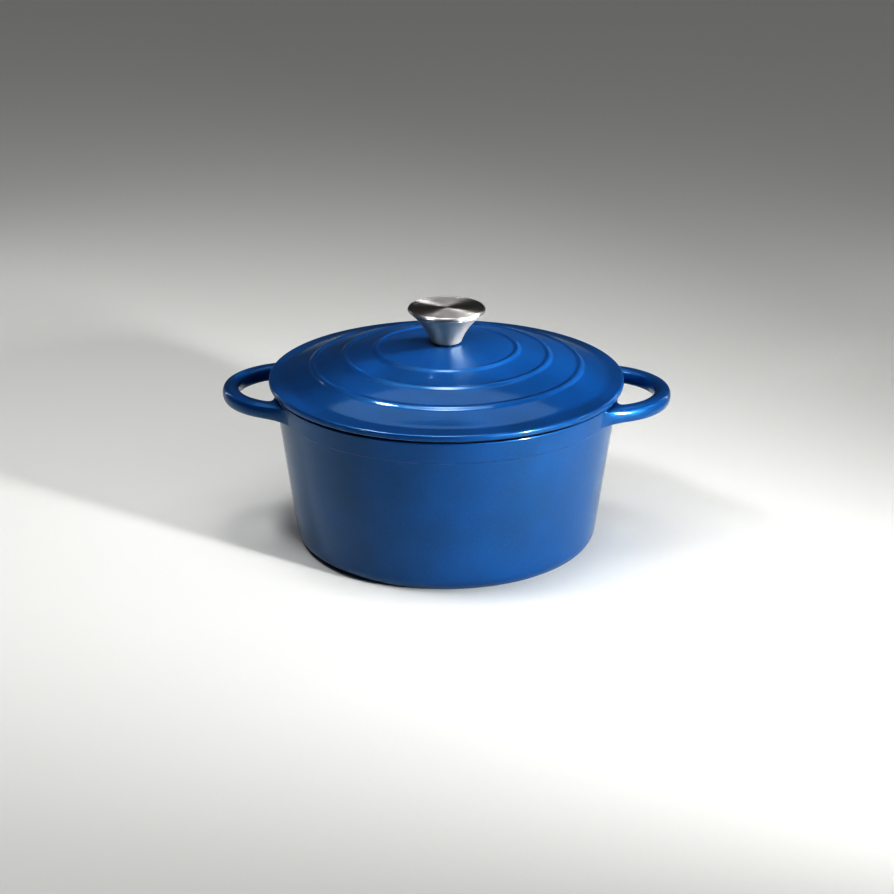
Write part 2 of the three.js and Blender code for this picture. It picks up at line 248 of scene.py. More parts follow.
def add_object(name, mesh_maker, materials):
    """An object whose mesh is filled by mesh_maker(bm), with smooth faces that point outwards."""
    mesh = bpy.data.meshes.new(name)
    bm = bmesh.new()
    mesh_maker(bm)
    bmesh.ops.recalc_face_normals(bm, faces=bm.faces)
    for face in bm.faces:
        face.smooth = True
    bm.to_mesh(mesh)
    bm.free()
    for material in materials:
        mesh.materials.append(material)
    piece = bpy.data.objects.new(name, mesh)
    bpy.context.scene.collection.objects.link(piece)
    return piece


def ring_point(radius, turn, height):
    """A point at a radius and an angle about +Z."""
    return radius * math.cos(turn), radius * math.sin(turn), height


def join_rows(bm, low, high, facets, index=0):
    """Faces between two rows of points about +Z, either of which may be a single point."""
    for j in range(facets):
        k = (j + 1) % facets
        ring = [low[j % len(low)], low[k % len(low)], high[k % len(high)], high[j % len(high)]]
        bm.faces.new(list(dict.fromkeys(ring))).material_index = index


def even_out(piece):
    """Lets large faces keep their own shading beside small roundings."""
    weighted = piece.modifiers.new("Weighted normals", "WEIGHTED_NORMAL")
    weighted.keep_sharp = True


def turned(points, finish=lambda radius, height: 0, facets=192, closed=False):
    """A mesh maker that turns (radius, height) points about +Z.

    finish gives the material's index from the middle of a stretch of the outline.
    """

    def make(bm):
        rows = []
        for radius, height in points:
            count = 1 if radius < AXIS else facets
            turns = [2 * math.pi * j / facets for j in range(count)]
            rows.append([bm.verts.new(ring_point(radius, t, height)) for t in turns])
        pairs = list(zip(range(len(rows)), range(1, len(rows))))
        if closed:
            pairs.append((len(rows) - 1, 0))
        for a, b in pairs:
            middle = [(points[a][k] + points[b][k]) / 2 for k in (0, 1)]
            join_rows(bm, rows[a], rows[b], facets, finish(*middle))

    return make


# ---------------- materials

MIX_COLOURS = {"data_type": "RGBA"}
MIX_SHARE, MIX_FIRST, MIX_SECOND, MIX_COLOUR = 0, 6, 7, 2  # a Mix node's colour sockets
NOISE = {"From Min": 0.3, "From Max": 0.7}  # the range that most noise lies in


def add_node(tree, kind, settings=None, inputs=None):
    """A node with its settings, and its inputs as values or as links from other sockets."""
    node = tree.nodes.new(kind)
    for name, value in (settings or {}).items():
        setattr(node, name, value)
    for name, value in (inputs or {}).items():
        socket = node.inputs[name]
        if isinstance(value, bpy.types.NodeSocket):
            tree.links.new(value, socket)
        else:
            socket.default_value = value
    return node


def new_material(name):
    """A material, its tree, the object's coordinates and the socket that takes the surface."""
    material = bpy.data.materials.new(name)
    material.use_nodes = True
    tree = material.node_tree
    tree.nodes.clear()
    surface = tree.nodes.new("ShaderNodeOutputMaterial").inputs["Surface"]
    return material, tree, add_node(tree, "ShaderNodeTexCoord").outputs["Object"], surface


def vitreous_enamel(name, body, deep, thin, sheen, glow):
    """Vitreous enamel, sprayed and fired on iron: pigmented glass over a slightly rough casting.

    The glass gives sharp reflections with a faint orange peel, and the pigment under it a broad
    soft glow. It lies a little deeper in places and pulls thin over sharp edges, where the colour
    lifts; that lighter colour on convex edges is also a painted highlight. The pigment's speckle is
    finer in real enamel, and is drawn coarser so that it shows.
    """
    material, tree, place, surface = new_material(name)
    clouds = add_node(tree, "ShaderNodeTexNoise", inputs={
        "Vector": place, "Scale": 1 / (38 * MM), "Detail": 1.0,
    })
    speckle = add_node(tree, "ShaderNodeTexNoise", inputs={
        "Vector": place, "Scale": 1 / (1.1 * MM), "Detail": 2.0,
    })
    pooling = add_node(tree, "ShaderNodeMapRange", inputs={
        "Value": clouds.outputs["Fac"], **NOISE,
    })
    pooled = add_node(tree, "ShaderNodeMix", MIX_COLOURS, {
        MIX_SHARE: pooling.outputs["Result"], MIX_FIRST: (*deep, 1), MIX_SECOND: (*body, 1),
    })
    grains = add_node(tree, "ShaderNodeMapRange", inputs={
        "Value": speckle.outputs["Fac"], "From Min": 0.55, "From Max": 0.8, "To Max": 0.25,
    })
    speckled = add_node(tree, "ShaderNodeMix", MIX_COLOURS, {
        MIX_SHARE: grains.outputs["Result"],
        MIX_FIRST: pooled.outputs[MIX_COLOUR],
        MIX_SECOND: (*thin, 1),
    })
    # Convex edges take the lighter colour: partly enamel pulled thin, partly a painted highlight.
    shape = add_node(tree, "ShaderNodeNewGeometry")
    edge = add_node(tree, "ShaderNodeMapRange", inputs={
        "Value": shape.outputs["Pointiness"], "From Min": 0.53, "From Max": 0.62, "To Max": 0.7,
    })
    base = add_node(tree, "ShaderNodeMix", MIX_COLOURS, {
        MIX_SHARE: edge.outputs["Result"],
        MIX_FIRST: speckled.outputs[MIX_COLOUR],
        MIX_SECOND: (*thin, 1),
    })
    rough = add_node(tree, "ShaderNodeMapRange", inputs={
        "Value": clouds.outputs["Fac"], **NOISE, "To Min": 0.42, "To Max": 0.48,
    })
    peel = add_node(tree, "ShaderNodeTexNoise", inputs={
        "Vector": place, "Scale": 1 / (2.6 * MM), "Detail": 1.0,
    })
    ripple = add_node(tree, "ShaderNodeBump", inputs={
        "Height": peel.outputs["Fac"], "Distance": 0.035 * MM, "Strength": 1.0,
    })
    shader = add_node(tree, "ShaderNodeBsdfPrincipled", inputs={
        "Base Color": base.outputs[MIX_COLOUR],
        "Roughness": rough.outputs["Result"],
        "Normal": ripple.outputs["Normal"],
        "IOR": 1.6,
        "Specular IOR Level": glow,
        "Specular Tint": (*sheen, 1),
        "Coat Weight": 0.8,
        "Coat Roughness": 0.09,
        "Coat IOR": 1.5,
        "Coat Normal": ripple.outputs["Normal"],
    })
    tree.links.new(shader.outputs[0], surface)
    return material


def matt_ground_coat(name, body, worn):
    """Matt ground-coat enamel on seats and foot ring: dark, grained, a little rubbed.

    Its grain is finer than a millimetre, and is drawn coarser than real so that it shows.
    """
    material, tree, place, surface = new_material(name)
    grain = add_node(tree, "ShaderNodeTexNoise", inputs={
        "Vector": place, "Scale": 1 / (0.7 * MM), "Detail": 3.0,
    })
    patches = add_node(tree, "ShaderNodeTexNoise", inputs={
        "Vector": place, "Scale": 1 / (6 * MM), "Detail": 2.0,
    })
    rubbed = add_node(tree, "ShaderNodeMapRange", inputs={
        "Value": patches.outputs["Fac"], "From Min": 0.5, "From Max": 0.75, "To Max": 0.5,
    })
    base = add_node(tree, "ShaderNodeMix", MIX_COLOURS, {
        MIX_SHARE: rubbed.outputs["Result"], MIX_FIRST: (*body, 1), MIX_SECOND: (*worn, 1),
    })
    rough = add_node(tree, "ShaderNodeMapRange", inputs={
        "Value": grain.outputs["Fac"], **NOISE, "To Min": 0.45, "To Max": 0.65,
    })
    pits = add_node(tree, "ShaderNodeBump", inputs={
        "Height": grain.outputs["Fac"], "Distance": 0.03 * MM,
    })
    shader = add_node(tree, "ShaderNodeBsdfPrincipled", inputs={
        "Base Color": base.outputs[MIX_COLOUR],
        "Roughness": rough.outputs["Result"],
        "Normal": pits.outputs["Normal"],
        "IOR": 1.5,
    })
    tree.links.new(shader.outputs[0], surface)
    return material


def turned_stainless_steel(name, body, groove, line_width, roughness, anisotropy):
    """Stainless steel, turned on a lathe: fine rings, so that highlights fan out from the middle.

    Real turning lines are about 0.1 mm apart. They are drawn coarser, so that they show.
    """
    material, tree, place, surface = new_material(name)
    parts = add_node(tree, "ShaderNodeSeparateXYZ", inputs={"Vector": place})
    flat = add_node(tree, "ShaderNodeCombineXYZ", inputs={
        "X": parts.outputs["X"], "Y": parts.outputs["Y"],
    })
    radius = add_node(tree, "ShaderNodeVectorMath", {"operation": "LENGTH"}, {
        0: flat.outputs["Vector"],
    })
    run = add_node(tree, "ShaderNodeMath", {"operation": "ADD"}, {
        0: radius.outputs["Value"], 1: parts.outputs["Z"],
    })
    lines = add_node(tree, "ShaderNodeTexNoise", {"noise_dimensions": "1D"}, {
        "W": run.outputs[0], "Scale": 1 / line_width, "Detail": 3.0,
    })
    tone = add_node(tree, "ShaderNodeMapRange", inputs={"Value": lines.outputs["Fac"], **NOISE})
    base = add_node(tree, "ShaderNodeMix", MIX_COLOURS, {
        MIX_SHARE: tone.outputs["Result"], MIX_FIRST: (*groove, 1), MIX_SECOND: (*body, 1),
    })
    rough = add_node(tree, "ShaderNodeMapRange", inputs={
        "Value": lines.outputs["Fac"],
        **NOISE,
        "To Min": roughness * 0.85,
        "To Max": roughness * 1.2,
    })
    grooves = add_node(tree, "ShaderNodeBump", inputs={
        "Height": lines.outputs["Fac"], "Distance": 0.012 * MM,
    })
    round_z = add_node(tree, "ShaderNodeTangent", {"direction_type": "RADIAL", "axis": "Z"})
    shader = add_node(tree, "ShaderNodeBsdfPrincipled", inputs={
        "Base Color": base.outputs[MIX_COLOUR],
        "Roughness": rough.outputs["Result"],
        "Metallic": 1.0,
        "Anisotropic": anisotropy,
        "Anisotropic Rotation": 0.25,
        "Tangent": round_z.outputs["Tangent"],
        "Normal": grooves.outputs["Normal"],
    })
    tree.links.new(shader.outputs[0], surface)
    return material


def zinc_plated_steel(name, body, dull):
    """Bright zinc plating on steel: pale, slightly clouded metal."""
    material, tree, place, surface = new_material(name)
    clouds = add_node(tree, "ShaderNodeTexNoise", inputs={
        "Vector": place, "Scale": 1 / (2.5 * MM), "Detail": 3.0,
    })
    base = add_node(tree, "ShaderNodeMix", MIX_COLOURS, {
        MIX_SHARE: clouds.outputs["Fac"], MIX_FIRST: (*dull, 1), MIX_SECOND: (*body, 1),
    })
    rough = add_node(tree, "ShaderNodeMapRange", inputs={
        "Value": clouds.outputs["Fac"], **NOISE, "To Min": 0.28, "To Max": 0.42,
    })
    shader = add_node(tree, "ShaderNodeBsdfPrincipled", inputs={
        "Base Color": base.outputs[MIX_COLOUR],
        "Roughness": rough.outputs["Result"],
        "Metallic": 1.0,
    })
    tree.links.new(shader.outputs[0], surface)
    return material


def fine_matt(name, body, light, grain_size, roughness, refraction):
    """A matt surface with an even grain, such as moulded silicone or background paper.

    The real grain is finer, and is drawn coarser so that it shows.
    """
    material, tree, place, surface = new_material(name)
    grain = add_node(tree, "ShaderNodeTexNoise", inputs={
        "Vector": place, "Scale": 1 / grain_size, "Detail": 2.0,
    })
    base = add_node(tree, "ShaderNodeMix", MIX_COLOURS, {
        MIX_SHARE: grain.outputs["Fac"], MIX_FIRST: (*body, 1), MIX_SECOND: (*light, 1),
    })
    rough = add_node(tree, "ShaderNodeMapRange", inputs={
        "Value": grain.outputs["Fac"],
        **NOISE,
        "To Min": roughness - 0.08,
        "To Max": roughness + 0.08,
    })
    shader = add_node(tree, "ShaderNodeBsdfPrincipled", inputs={
        "Base Color": base.outputs[MIX_COLOUR],
        "Roughness": rough.outputs["Result"],
        "IOR": refraction,
    })
    tree.links.new(shader.outputs[0], surface)
    return material


def castings_materials():
    """Blue enamel, pale lining and dark ground coat, made once for the pot and the lid."""
    names = ("blue vitreous enamel", "cream vitreous enamel", "matt ground coat")
    if names[0] not in bpy.data.materials:
        finish = bpy.context.scene.oven_finish
        blues = (finish.enamel, finish.enamel_deep, finish.enamel_thin_and_edge_highlight, finish.enamel_sheen)
        creams = (finish.lining, finish.lining_deep, finish.lining, finish.lining)
        vitreous_enamel(names[0], *blues, glow=1.0)
        vitreous_enamel(names[1], *creams, glow=0.5)
        matt_ground_coat(names[2], finish.ground_coat, finish.ground_worn)
    return [bpy.data.materials[name] for name in names]


BLUE, CREAM, DARK = range(3)
RIM_BARE = 0.1 * MM  # how far down the rim's rounding the ground coat shows
FOOT_BARE = 0.05 * MM  # the same up the foot ring's rounding
SEAT_MARGIN = 0.05 * MM  # from the seat's ground coat up to the underside of the lid's edge


# ---------------- pot


class PotShape:
    """The pot's casting, worked out from the frame and the settings."""

    def __init__(self, pot):
        self.pot = pot
        self.rim = POT_HIGH.y
        self.height = POT_HIGH.z
        self.slope = math.tan(pot.taper)
        self.loop_x = POT_HIGH.x - pot.loop_radius
        self.gap_x = POT_HIGH.x - pot.bar_width - pot.gap_radius
        self.handle_z = self.height - pot.handle_drop - pot.bar_thickness / 2

    def side(self, z):
        """Outside radius of the side, below the band."""
        return self.rim - self.pot.band_proud - self.slope * (self.height - z)

    def band(self, z):
        """Outside radius of the band."""
        return self.side(z) + self.pot.band_proud

    def mouth(self, z):
        """Inside radius."""
        return self.side(z) - self.pot.wall

    def corners(self):
        """Outline from the middle of the floor, over the rim, to the middle of the base."""
        pot = self.pot
        band_z = self.height - pot.band_height
        step_z = band_z - pot.band_proud
        foot = self.side(0) - pot.outer_corner / math.tan((math.pi / 2 + pot.taper) / 2)
        return rounded(
            [
                (0, pot.floor),
                (self.mouth(pot.floor), pot.floor, pot.inner_corner),
                (self.mouth(self.height), self.height, pot.rim_round),
                (self.rim, self.height, pot.rim_round),
                (self.band(band_z), band_z, 0.6 * MM),
                (self.side(step_z), step_z, 0.6 * MM),
                (self.side(0), 0, pot.outer_corner),
                (foot - pot.foot_width, 0, 0.4 * MM),
                (foot - pot.foot_width - pot.foot_height, pot.foot_height, 0.4 * MM),
                (0, pot.foot_height),
            ]
        )

    def finish(self, radius, z):
        """Cream inside, dark on the rim's flat top and under the foot ring, blue elsewhere."""
        if z > self.height - RIM_BARE or z < FOOT_BARE:
            return DARK
        inside = z > self.pot.floor - 0.01 * MM and radius < self.mouth(z) + self.pot.wall / 2
        return CREAM if inside else BLUE

    def loop(self, across, up):
        """Centre, radius and height of the arc that a line along a handle's skin follows."""
        share = (across + 1) / 2
        x = self.gap_x + (self.loop_x - self.gap_x) * share
        radius = self.pot.gap_radius + (self.pot.loop_radius - self.pot.gap_radius) * share
        return x, radius, self.handle_z + up * self.pot.bar_thickness / 2

    def bar_point(self, phi, across, up):
        """A point on a handle's skin: phi is the angle from the outermost point, round the loop."""
        x, radius, z = self.loop(across, up)
        return Vector((x + radius * math.cos(phi), radius * math.sin(phi), z))

    def wall_phi(self, across, up):
        """Where the handle's skin would meet the band, if it ran straight on."""
        x, radius, z = self.loop(across, up)
        return math.acos((self.band(z) ** 2 - x**2 - radius**2) / (2 * x * radius))


QUARTER_FACETS = 48  # round a quarter of the pot
ROOT_START, ROOT_END = 6, 15  # facets that a handle's root covers
ROOT_ROWS = 12  # rows of facets down the root
BAR_STATIONS = 26  # steps along half a handle
FILLET_STATIONS = 12  # steps from the handle to the wall
BAR_LEAVES_WALL = math.radians(66)  # angle round the loop where the fillet starts
BAR_SQUARENESS = 0.2  # between a round section (0) and a square one (1)
FILLET_PULL = 0.62  # how far the fillet's curve follows the handle and the wall


def bar_section(across, up):
    """Moves a point on a square's edge onto a rounded section: between a circle and that square."""
    circle = Vector((across * math.sqrt(1 - up**2 / 2), up * math.sqrt(1 - across**2 / 2)))
    return circle.lerp(Vector((across, up)), BAR_SQUARENESS)


def quarter_pot(shape):
    """A mesh maker for the pot's quarter in +X and +Y, with half a handle grown from its wall."""

    def make(bm):
        groups = shape.corners()
        rim_corner = 3
        points = [point for group in groups[: rim_corner + 1] for point in group]
        root_top = len(points) - 1
        points += between(groups[rim_corner][-1], groups[rim_corner + 1][0], ROOT_ROWS)
        root_bottom = len(points)
        points += [point for group in groups[rim_corner + 1 :] for point in group]
        finishes = [
            shape.finish((a[0] + b[0]) / 2, (a[1] + b[1]) / 2) for a, b in zip(points, points[1:])
        ]

        rows = []
        for radius, z in points:
            count = 1 if radius < AXIS else QUARTER_FACETS + 1
            turns = [math.pi / 2 * j / QUARTER_FACETS for j in range(count)]
            rows.append([bm.verts.new(ring_point(radius, t, z)) for t in turns])
        for i, finish in enumerate(finishes):
            for j in range(QUARTER_FACETS):
                if root_top <= i < root_bottom and ROOT_START <= j < ROOT_END:
                    continue
                ends = [(i, j), (i, j + 1), (i + 1, j + 1), (i + 1, j)]
                corners = [rows[a][min(b, len(rows[a]) - 1)] for a, b in ends]
                bm.faces.new(list(dict.fromkeys(corners))).material_index = finish

        edge = [(root_top, j) for j in range(ROOT_START, ROOT_END)]
        edge += [(i, ROOT_END) for i in range(root_top, root_bottom)]
        edge += [(root_bottom, j) for j in range(ROOT_END, ROOT_START, -1)]
        edge += [(i, ROOT_START) for i in range(root_bottom, root_top, -1)]

        strings = []
        for i, j in edge:
            across = 2 * (j - ROOT_START) / (ROOT_END - ROOT_START) - 1
            up = 1 - 2 * (i - root_top) / (root_bottom - root_top)
            side, rise = bar_section(across, up)
            bar = [
                shape.bar_point(BAR_LEAVES_WALL * k / BAR_STATIONS, side, rise)
                for k in range(BAR_STATIONS + 1)
            ]
            last = bar[-1]
            foot = rows[i][j].co
            meeting = shape.bar_point(shape.wall_phi(side, rise), side, rise)
            heading = (last - bar[-2]).normalized()
            pull = heading * ((meeting - last).length * FILLET_PULL)
            settle = (meeting - foot) * FILLET_PULL
            string = [bm.verts.new(point) for point in bar]
            for k in range(1, FILLET_STATIONS):
                t = k / FILLET_STATIONS
                point = last * (1 - t) ** 3 + (last + pull) * 3 * t * (1 - t) ** 2
                point = point + (foot + settle) * 3 * t**2 * (1 - t) + foot * t**3
                string.append(bm.verts.new(point))
            string.append(rows[i][j])
            strings.append(string)
        for string, beside in zip(strings, strings[1:] + strings[:1]):
            for k in range(len(string) - 1):
                patch = (string[k], string[k + 1], beside[k + 1], beside[k])
                bm.faces.new(patch).material_index = BLUE

    return make


class OVEN_OT_pot(bpy.types.Operator):
    """Builds the pot with its two loop handles"""

    bl_idname = "oven.pot"
    bl_label = "Pot"

    def execute(self, context):
        shape = PotShape(context.scene.oven_pot)
        piece = add_object("enamelled_pot", quarter_pot(shape), castings_materials())
        mirror = piece.modifiers.new("Mirror", "MIRROR")
        mirror.use_axis = (True, True, False)
        mirror.merge_threshold = 0.01 * MM
        even_out(piece)
        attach(piece, "pot")
        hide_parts("pot")
        return {"FINISHED"}


# ---------------- lid

DOME_STEP = 0.7 * MM  # fine enough for the rings' roundness
HOLLOW_STEPS = 40
PAD_MARGIN = 1.3 * MM  # flat pad on the lid, beyond the knob's foot


def lid_outline(lid, shape, pad_radius):
    """The lid's section, from the screw hole's lower edge round the rim to its upper edge."""
    edge_radius = LID_HIGH.x
    seat_z = shape.height + lid.seat_gap
    edge_bottom = seat_z + lid.edge_lift
    edge_top = edge_bottom + lid.edge_height
    flange = edge_radius - lid.flange_width
    flange_z = edge_top + lid.flange_rise
    centre_z = flange_z - math.sqrt(lid.dome_radius**2 - flange**2)
    lip_z = LID_LOW.z
    lip = shape.mouth(lip_z) - lid.lip_clearance
    hollow = lip - lid.lip_width - lid.wall
    rings = [flange - lid.ring_inset - lid.ring_pitch * i for i in range(lid.ring_count)]

    def dome(radius, depth=0.0):
        return centre_z + math.sqrt((lid.dome_radius - depth) ** 2 - radius**2)

    def crown(radius):
        """The dome's height with its rings, each a smooth rounded swell."""
        swell = 0.0
        for ring in rings:
            off = abs(radius - ring) / (lid.ring_width / 2)
            if off < 1:
                swell += lid.ring_height * (0.5 + 0.5 * math.cos(math.pi * off))
        return dome(radius) + swell

    pad_under = dome(pad_radius, lid.wall)
    under = [(lid.hole_radius, pad_under)]
    for i in range(HOLLOW_STEPS + 1):
        radius = pad_radius + (hollow - pad_radius) * i / HOLLOW_STEPS
        under.append((radius, dome(radius, lid.wall)))

    blend = 4 * MM
    margin = outline(
        [
            under[-2],
            (*under[-1], 6 * MM),
            (lip - lid.lip_width, lip_z, 1.5 * MM),
            (lip, lip_z, 1.5 * MM),
            (shape.mouth(seat_z) - lid.lip_clearance, seat_z, 0.4 * MM),
            (shape.rim - lid.edge_lift, seat_z, 0.5 * MM),
            (shape.rim, edge_bottom, 0.5 * MM),
            (edge_radius, edge_bottom, lid.edge_round),
            (edge_radius, edge_top, lid.edge_round),
            (flange, flange_z, 25 * MM),
            (flange - blend, dome(flange - blend)),
        ]
    )[1:]

    top = []
    start = flange - blend
    steps = round((start - pad_radius) / DOME_STEP)
    for i in range(1, steps):
        radius = start + (pad_radius - start) * i / steps
        top.append((radius, crown(radius)))
    pad_z = LID_HIGH.z
    top += outline([top[-1], (pad_radius, pad_z, 0.8 * MM), (lid.hole_radius, pad_z)])[1:]
    return under[:-1] + margin + top, seat_z, edge_bottom, centre_z


class OVEN_OT_lid(bpy.types.Operator):
    """Builds the domed lid with its raised rings"""

    bl_idname = "oven.lid"
    bl_label = "Lid"

    def execute(self, context):
        lid = context.scene.oven_lid
        shape = PotShape(context.scene.oven_pot)
        pad_radius = context.scene.oven_knob.foot_radius + PAD_MARGIN
        points, seat_z, edge_bottom, centre_z = lid_outline(lid, shape, pad_radius)
        seat_inner = shape.mouth(seat_z) - lid.lip_clearance
        top_z = edge_bottom + lid.edge_height / 2

        def finish(radius, z):
            """Dark on the seat, cream inside it, blue on top and on the edge."""
            if seat_inner <= radius < shape.rim and z < edge_bottom - SEAT_MARGIN:
                return DARK
            middle = math.hypot(radius, z - centre_z) < lid.dome_radius - lid.wall / 2
            return CREAM if radius < seat_inner and (z < top_z or middle) else BLUE

        make = turned(points, finish, facets=224, closed=True)
        piece = add_object("enamelled_lid", make, castings_materials())
        even_out(piece)
        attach(piece, "lid")
        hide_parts("lid")
        return {"FINISHED"}


# ---------------- knob


def steel_materials():
    """Turned steel for the stem, and a finer faced one for the cap."""
    names = ("turned stainless steel stem", "faced stainless steel cap")
    if names[0] not in bpy.data.materials:
        finish = bpy.context.scene.oven_finish
        groove = finish.steel_groove
        # The stem's colour carries a painted warm tint that cancels the lid's blue reflection.
        turned_stainless_steel(
            names[0], finish.stem_steel_warmed_against_reflection, groove, line_width=0.8 * MM, roughness=0.42, anisotropy=0.5
        )
        turned_stainless_steel(
            names[1], finish.cap_steel, groove, line_width=0.7 * MM, roughness=0.36, anisotropy=0.85
        )
    return [bpy.data.materials[name] for name in names]


def zinc():
    """Zinc plating, made once for the whole fastening."""
    name = "zinc plated steel"
    if name not in bpy.data.materials:
        finish = bpy.context.scene.oven_finish
        zinc_plated_steel(name, finish.zinc, finish.zinc_dull)
    return bpy.data.materials[name]


class OVEN_OT_knob(bpy.types.Operator):
    """Builds the knob: its flared stem, its cap and the gasket under it"""

    bl_idname = "oven.knob"
    bl_label = "Knob"

    def execute(self, context):
        knob = context.scene.oven_knob
        stem_steel_warmed_against_reflection, cap_steel = steel_materials()
        cap_z = CAP_HIGH.z - knob.cap_thickness
        spigot = CAP_HIGH.x - knob.cap_land

        foot = Vector((knob.foot_radius, STEM_LOW.z))
        bend = Vector((knob.flare_radius, STEM_LOW.z + knob.flare_height))
        top = Vector((STEM_HIGH.x, STEM_HIGH.z))
        flare = []
        steps = 48
        for i in range(1, steps):
            t = i / steps
            flare.append(tuple(foot * (1 - t) ** 2 + bend * 2 * t * (1 - t) + top * t**2))
        bore = INSERT_HIGH.x + knob.touch
        bore_top = INSERT_HIGH.z + knob.touch
        seat_floor = CAP_LOW.z - knob.touch
        seat = spigot + knob.touch
        stem = outline(
            [
                (0, bore_top),
                (bore, bore_top, 0.3 * MM),
                (bore, STEM_LOW.z, 0.3 * MM),
                (*foot, 0.5 * MM),
                *flare,
                (*top, 0.25 * MM),
                (seat, STEM_HIGH.z, 0.25 * MM),
                (seat, seat_floor, 0.4 * MM),
                (0, seat_floor),
            ],
            5,
        )
        stem_piece = add_object("turned_knob_stem", turned(stem, facets=128), [stem_steel_warmed_against_reflection])

        dish = CAP_HIGH.x - knob.cap_round - 0.6 * MM
        cap = outline(
            [
                (0, CAP_LOW.z),
                (spigot, CAP_LOW.z, 0.4 * MM),
                (spigot, cap_z, 0.2 * MM),
                (CAP_HIGH.x, cap_z, knob.cap_round),
                (CAP_HIGH.x, CAP_HIGH.z, knob.cap_round),
                (dish, CAP_HIGH.z, 0.3 * MM),
                (dish - 3 * knob.cap_dish, CAP_HIGH.z - knob.cap_dish, 1.5 * MM),
                (0, CAP_HIGH.z - knob.cap_dish),
            ]
        )
        cap_piece = add_object("turned_knob_cap", turned(cap, facets=160), [cap_steel])

        hole = context.scene.oven_lid.hole_radius
        gasket = outline(
            [
                (hole, GASKET_LOW.z),
                (GASKET_HIGH.x, GASKET_LOW.z, 0.2 * MM),
                (GASKET_HIGH.x, GASKET_HIGH.z, 0.2 * MM),
                (hole, GASKET_HIGH.z),
            ],
            4,
        )
        finish = context.scene.oven_finish
        black = fine_matt(
            "moulded silicone", finish.silicone, finish.silicone_light,
            grain_size=0.5 * MM, roughness=0.6, refraction=1.43,
        )
        seal = turned(gasket, facets=96, closed=True)
        gasket_piece = add_object("silicone_gasket", seal, [black])

        rows = (
            (stem_piece, "knob_stem", "turned_steel"),
            (cap_piece, "knob_cap", "turned_steel"),
            (gasket_piece, "knob_gasket", "gasket"),
        )
        for piece, node, slot in rows:
            even_out(piece)
            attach(piece, "lid")
            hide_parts(node)
        return {"FINISHED"}


# ---------------- fastening

THREAD_ROWS = 8  # to one turn
THREAD_FACETS = 48
RECESS_TAPER = 0.55  # a slot's bottom against its mouth
SPRING_STEPS = 72
SPRING_THICKNESS = 0.8  # share of the spring washer's height, its spread ends take the rest


def threaded_rows(radius, low, high, pitch, depth):
    """Rows of points whose radius follows a helical V groove, between two plain ends."""
    count = round((high - low) / pitch * THREAD_ROWS)
    rows = []
    for i in range(count + 1):
        z = low + (high - low) * i / count
        ends = min(1.0, i / THREAD_ROWS, (count - i) / THREAD_ROWS)
        row = []
        for j in range(THREAD_FACETS):
            phase = (z / pitch - j / THREAD_FACETS) % 1.0
            groove = abs(2 * phase - 1)
            row.append((radius - depth * groove * ends, z))
        rows.append(row)
    return rows


def threaded(before, rows, after, closed=False):
    """A mesh maker for a turned piece that has a threaded stretch between two plain outlines."""

    def make(bm):
        plain = [[point] * THREAD_FACETS for point in before]
        rest = [[point] * THREAD_FACETS for point in after]
        table = []
        for row in plain + rows + rest:
            count = 1 if row[0][0] < AXIS else THREAD_FACETS
            turns = [2 * math.pi * j / THREAD_FACETS for j in range(count)]
            places = [ring_point(radius, t, z) for (radius, z), t in zip(row, turns)]
            table.append([bm.verts.new(place) for place in places])
        pairs = list(zip(table, table[1:]))
        if closed:
            pairs.append((table[-1], table[0]))
        for low, high in pairs:
            join_rows(bm, low, high, THREAD_FACETS)

    return make


def cross_recess(bm, low, width, span, depth):
    """Two crossed slots that cut the screw's head. They narrow with depth."""
    for turn in (0, math.pi / 2):
        made = bmesh.ops.create_cube(bm, size=1.0)["verts"]
        for vert in made:
            taper = 1.0 if vert.co.z < 0 else RECESS_TAPER
            x, y = vert.co.x * span * taper, vert.co.y * width * (0.5 + taper / 2)
            along, aside = math.cos(turn), math.sin(turn)
            z = low + vert.co.z * 2 * depth
            vert.co = (x * along - y * aside, x * aside + y * along, z)


def cut(piece, make_cutter):
    """Cuts piece with a solid, and keeps only the result."""
    cutter = add_object("cutter", make_cutter, [])
    boolean = piece.modifiers.new("Cut", "BOOLEAN")
    boolean.operation = "DIFFERENCE"
    boolean.solver = "EXACT"
    boolean.use_self = True
    boolean.object = cutter
    bpy.context.view_layer.update()
    graph = bpy.context.evaluated_depsgraph_get()
    result = bpy.data.meshes.new_from_object(piece.evaluated_get(graph))
    piece.modifiers.remove(boolean)
    old = piece.data
    piece.data = result
    bpy.data.meshes.remove(old)
    spent = cutter.data
    bpy.data.objects.remove(cutter)
    bpy.data.meshes.remove(spent)


def spring_ring(inner, outer, low, high, split):
    """A mesh maker for a split ring of square section, whose ends are sprung apart."""

    def make(bm):
        thickness = (high - low) * SPRING_THICKNESS
        edge = 0.15 * MM
        rise = (high - low) - thickness
        rings = []
        for i in range(SPRING_STEPS + 1):
            turn = split / 2 + (2 * math.pi - split) * i / SPRING_STEPS
            bottom = low + rise * i / SPRING_STEPS
            start = (inner, bottom + thickness / 2)
            section = outline(
                [
                    start,
                    (inner, bottom, edge),
                    (outer, bottom, edge),
                    (outer, bottom + thickness, edge),
                    (inner, bottom + thickness, edge),
                    start,
                ],
                3,
            )[:-1]
            rings.append([bm.verts.new(ring_point(radius, turn, z)) for radius, z in section])
        for a, b in zip(rings, rings[1:]):
            for j in range(len(a)):
                k = (j + 1) % len(a)
                bm.faces.new((a[j], a[k], b[k], b[j]))
        bm.faces.new(rings[0])
        bm.faces.new(rings[-1])

    return make


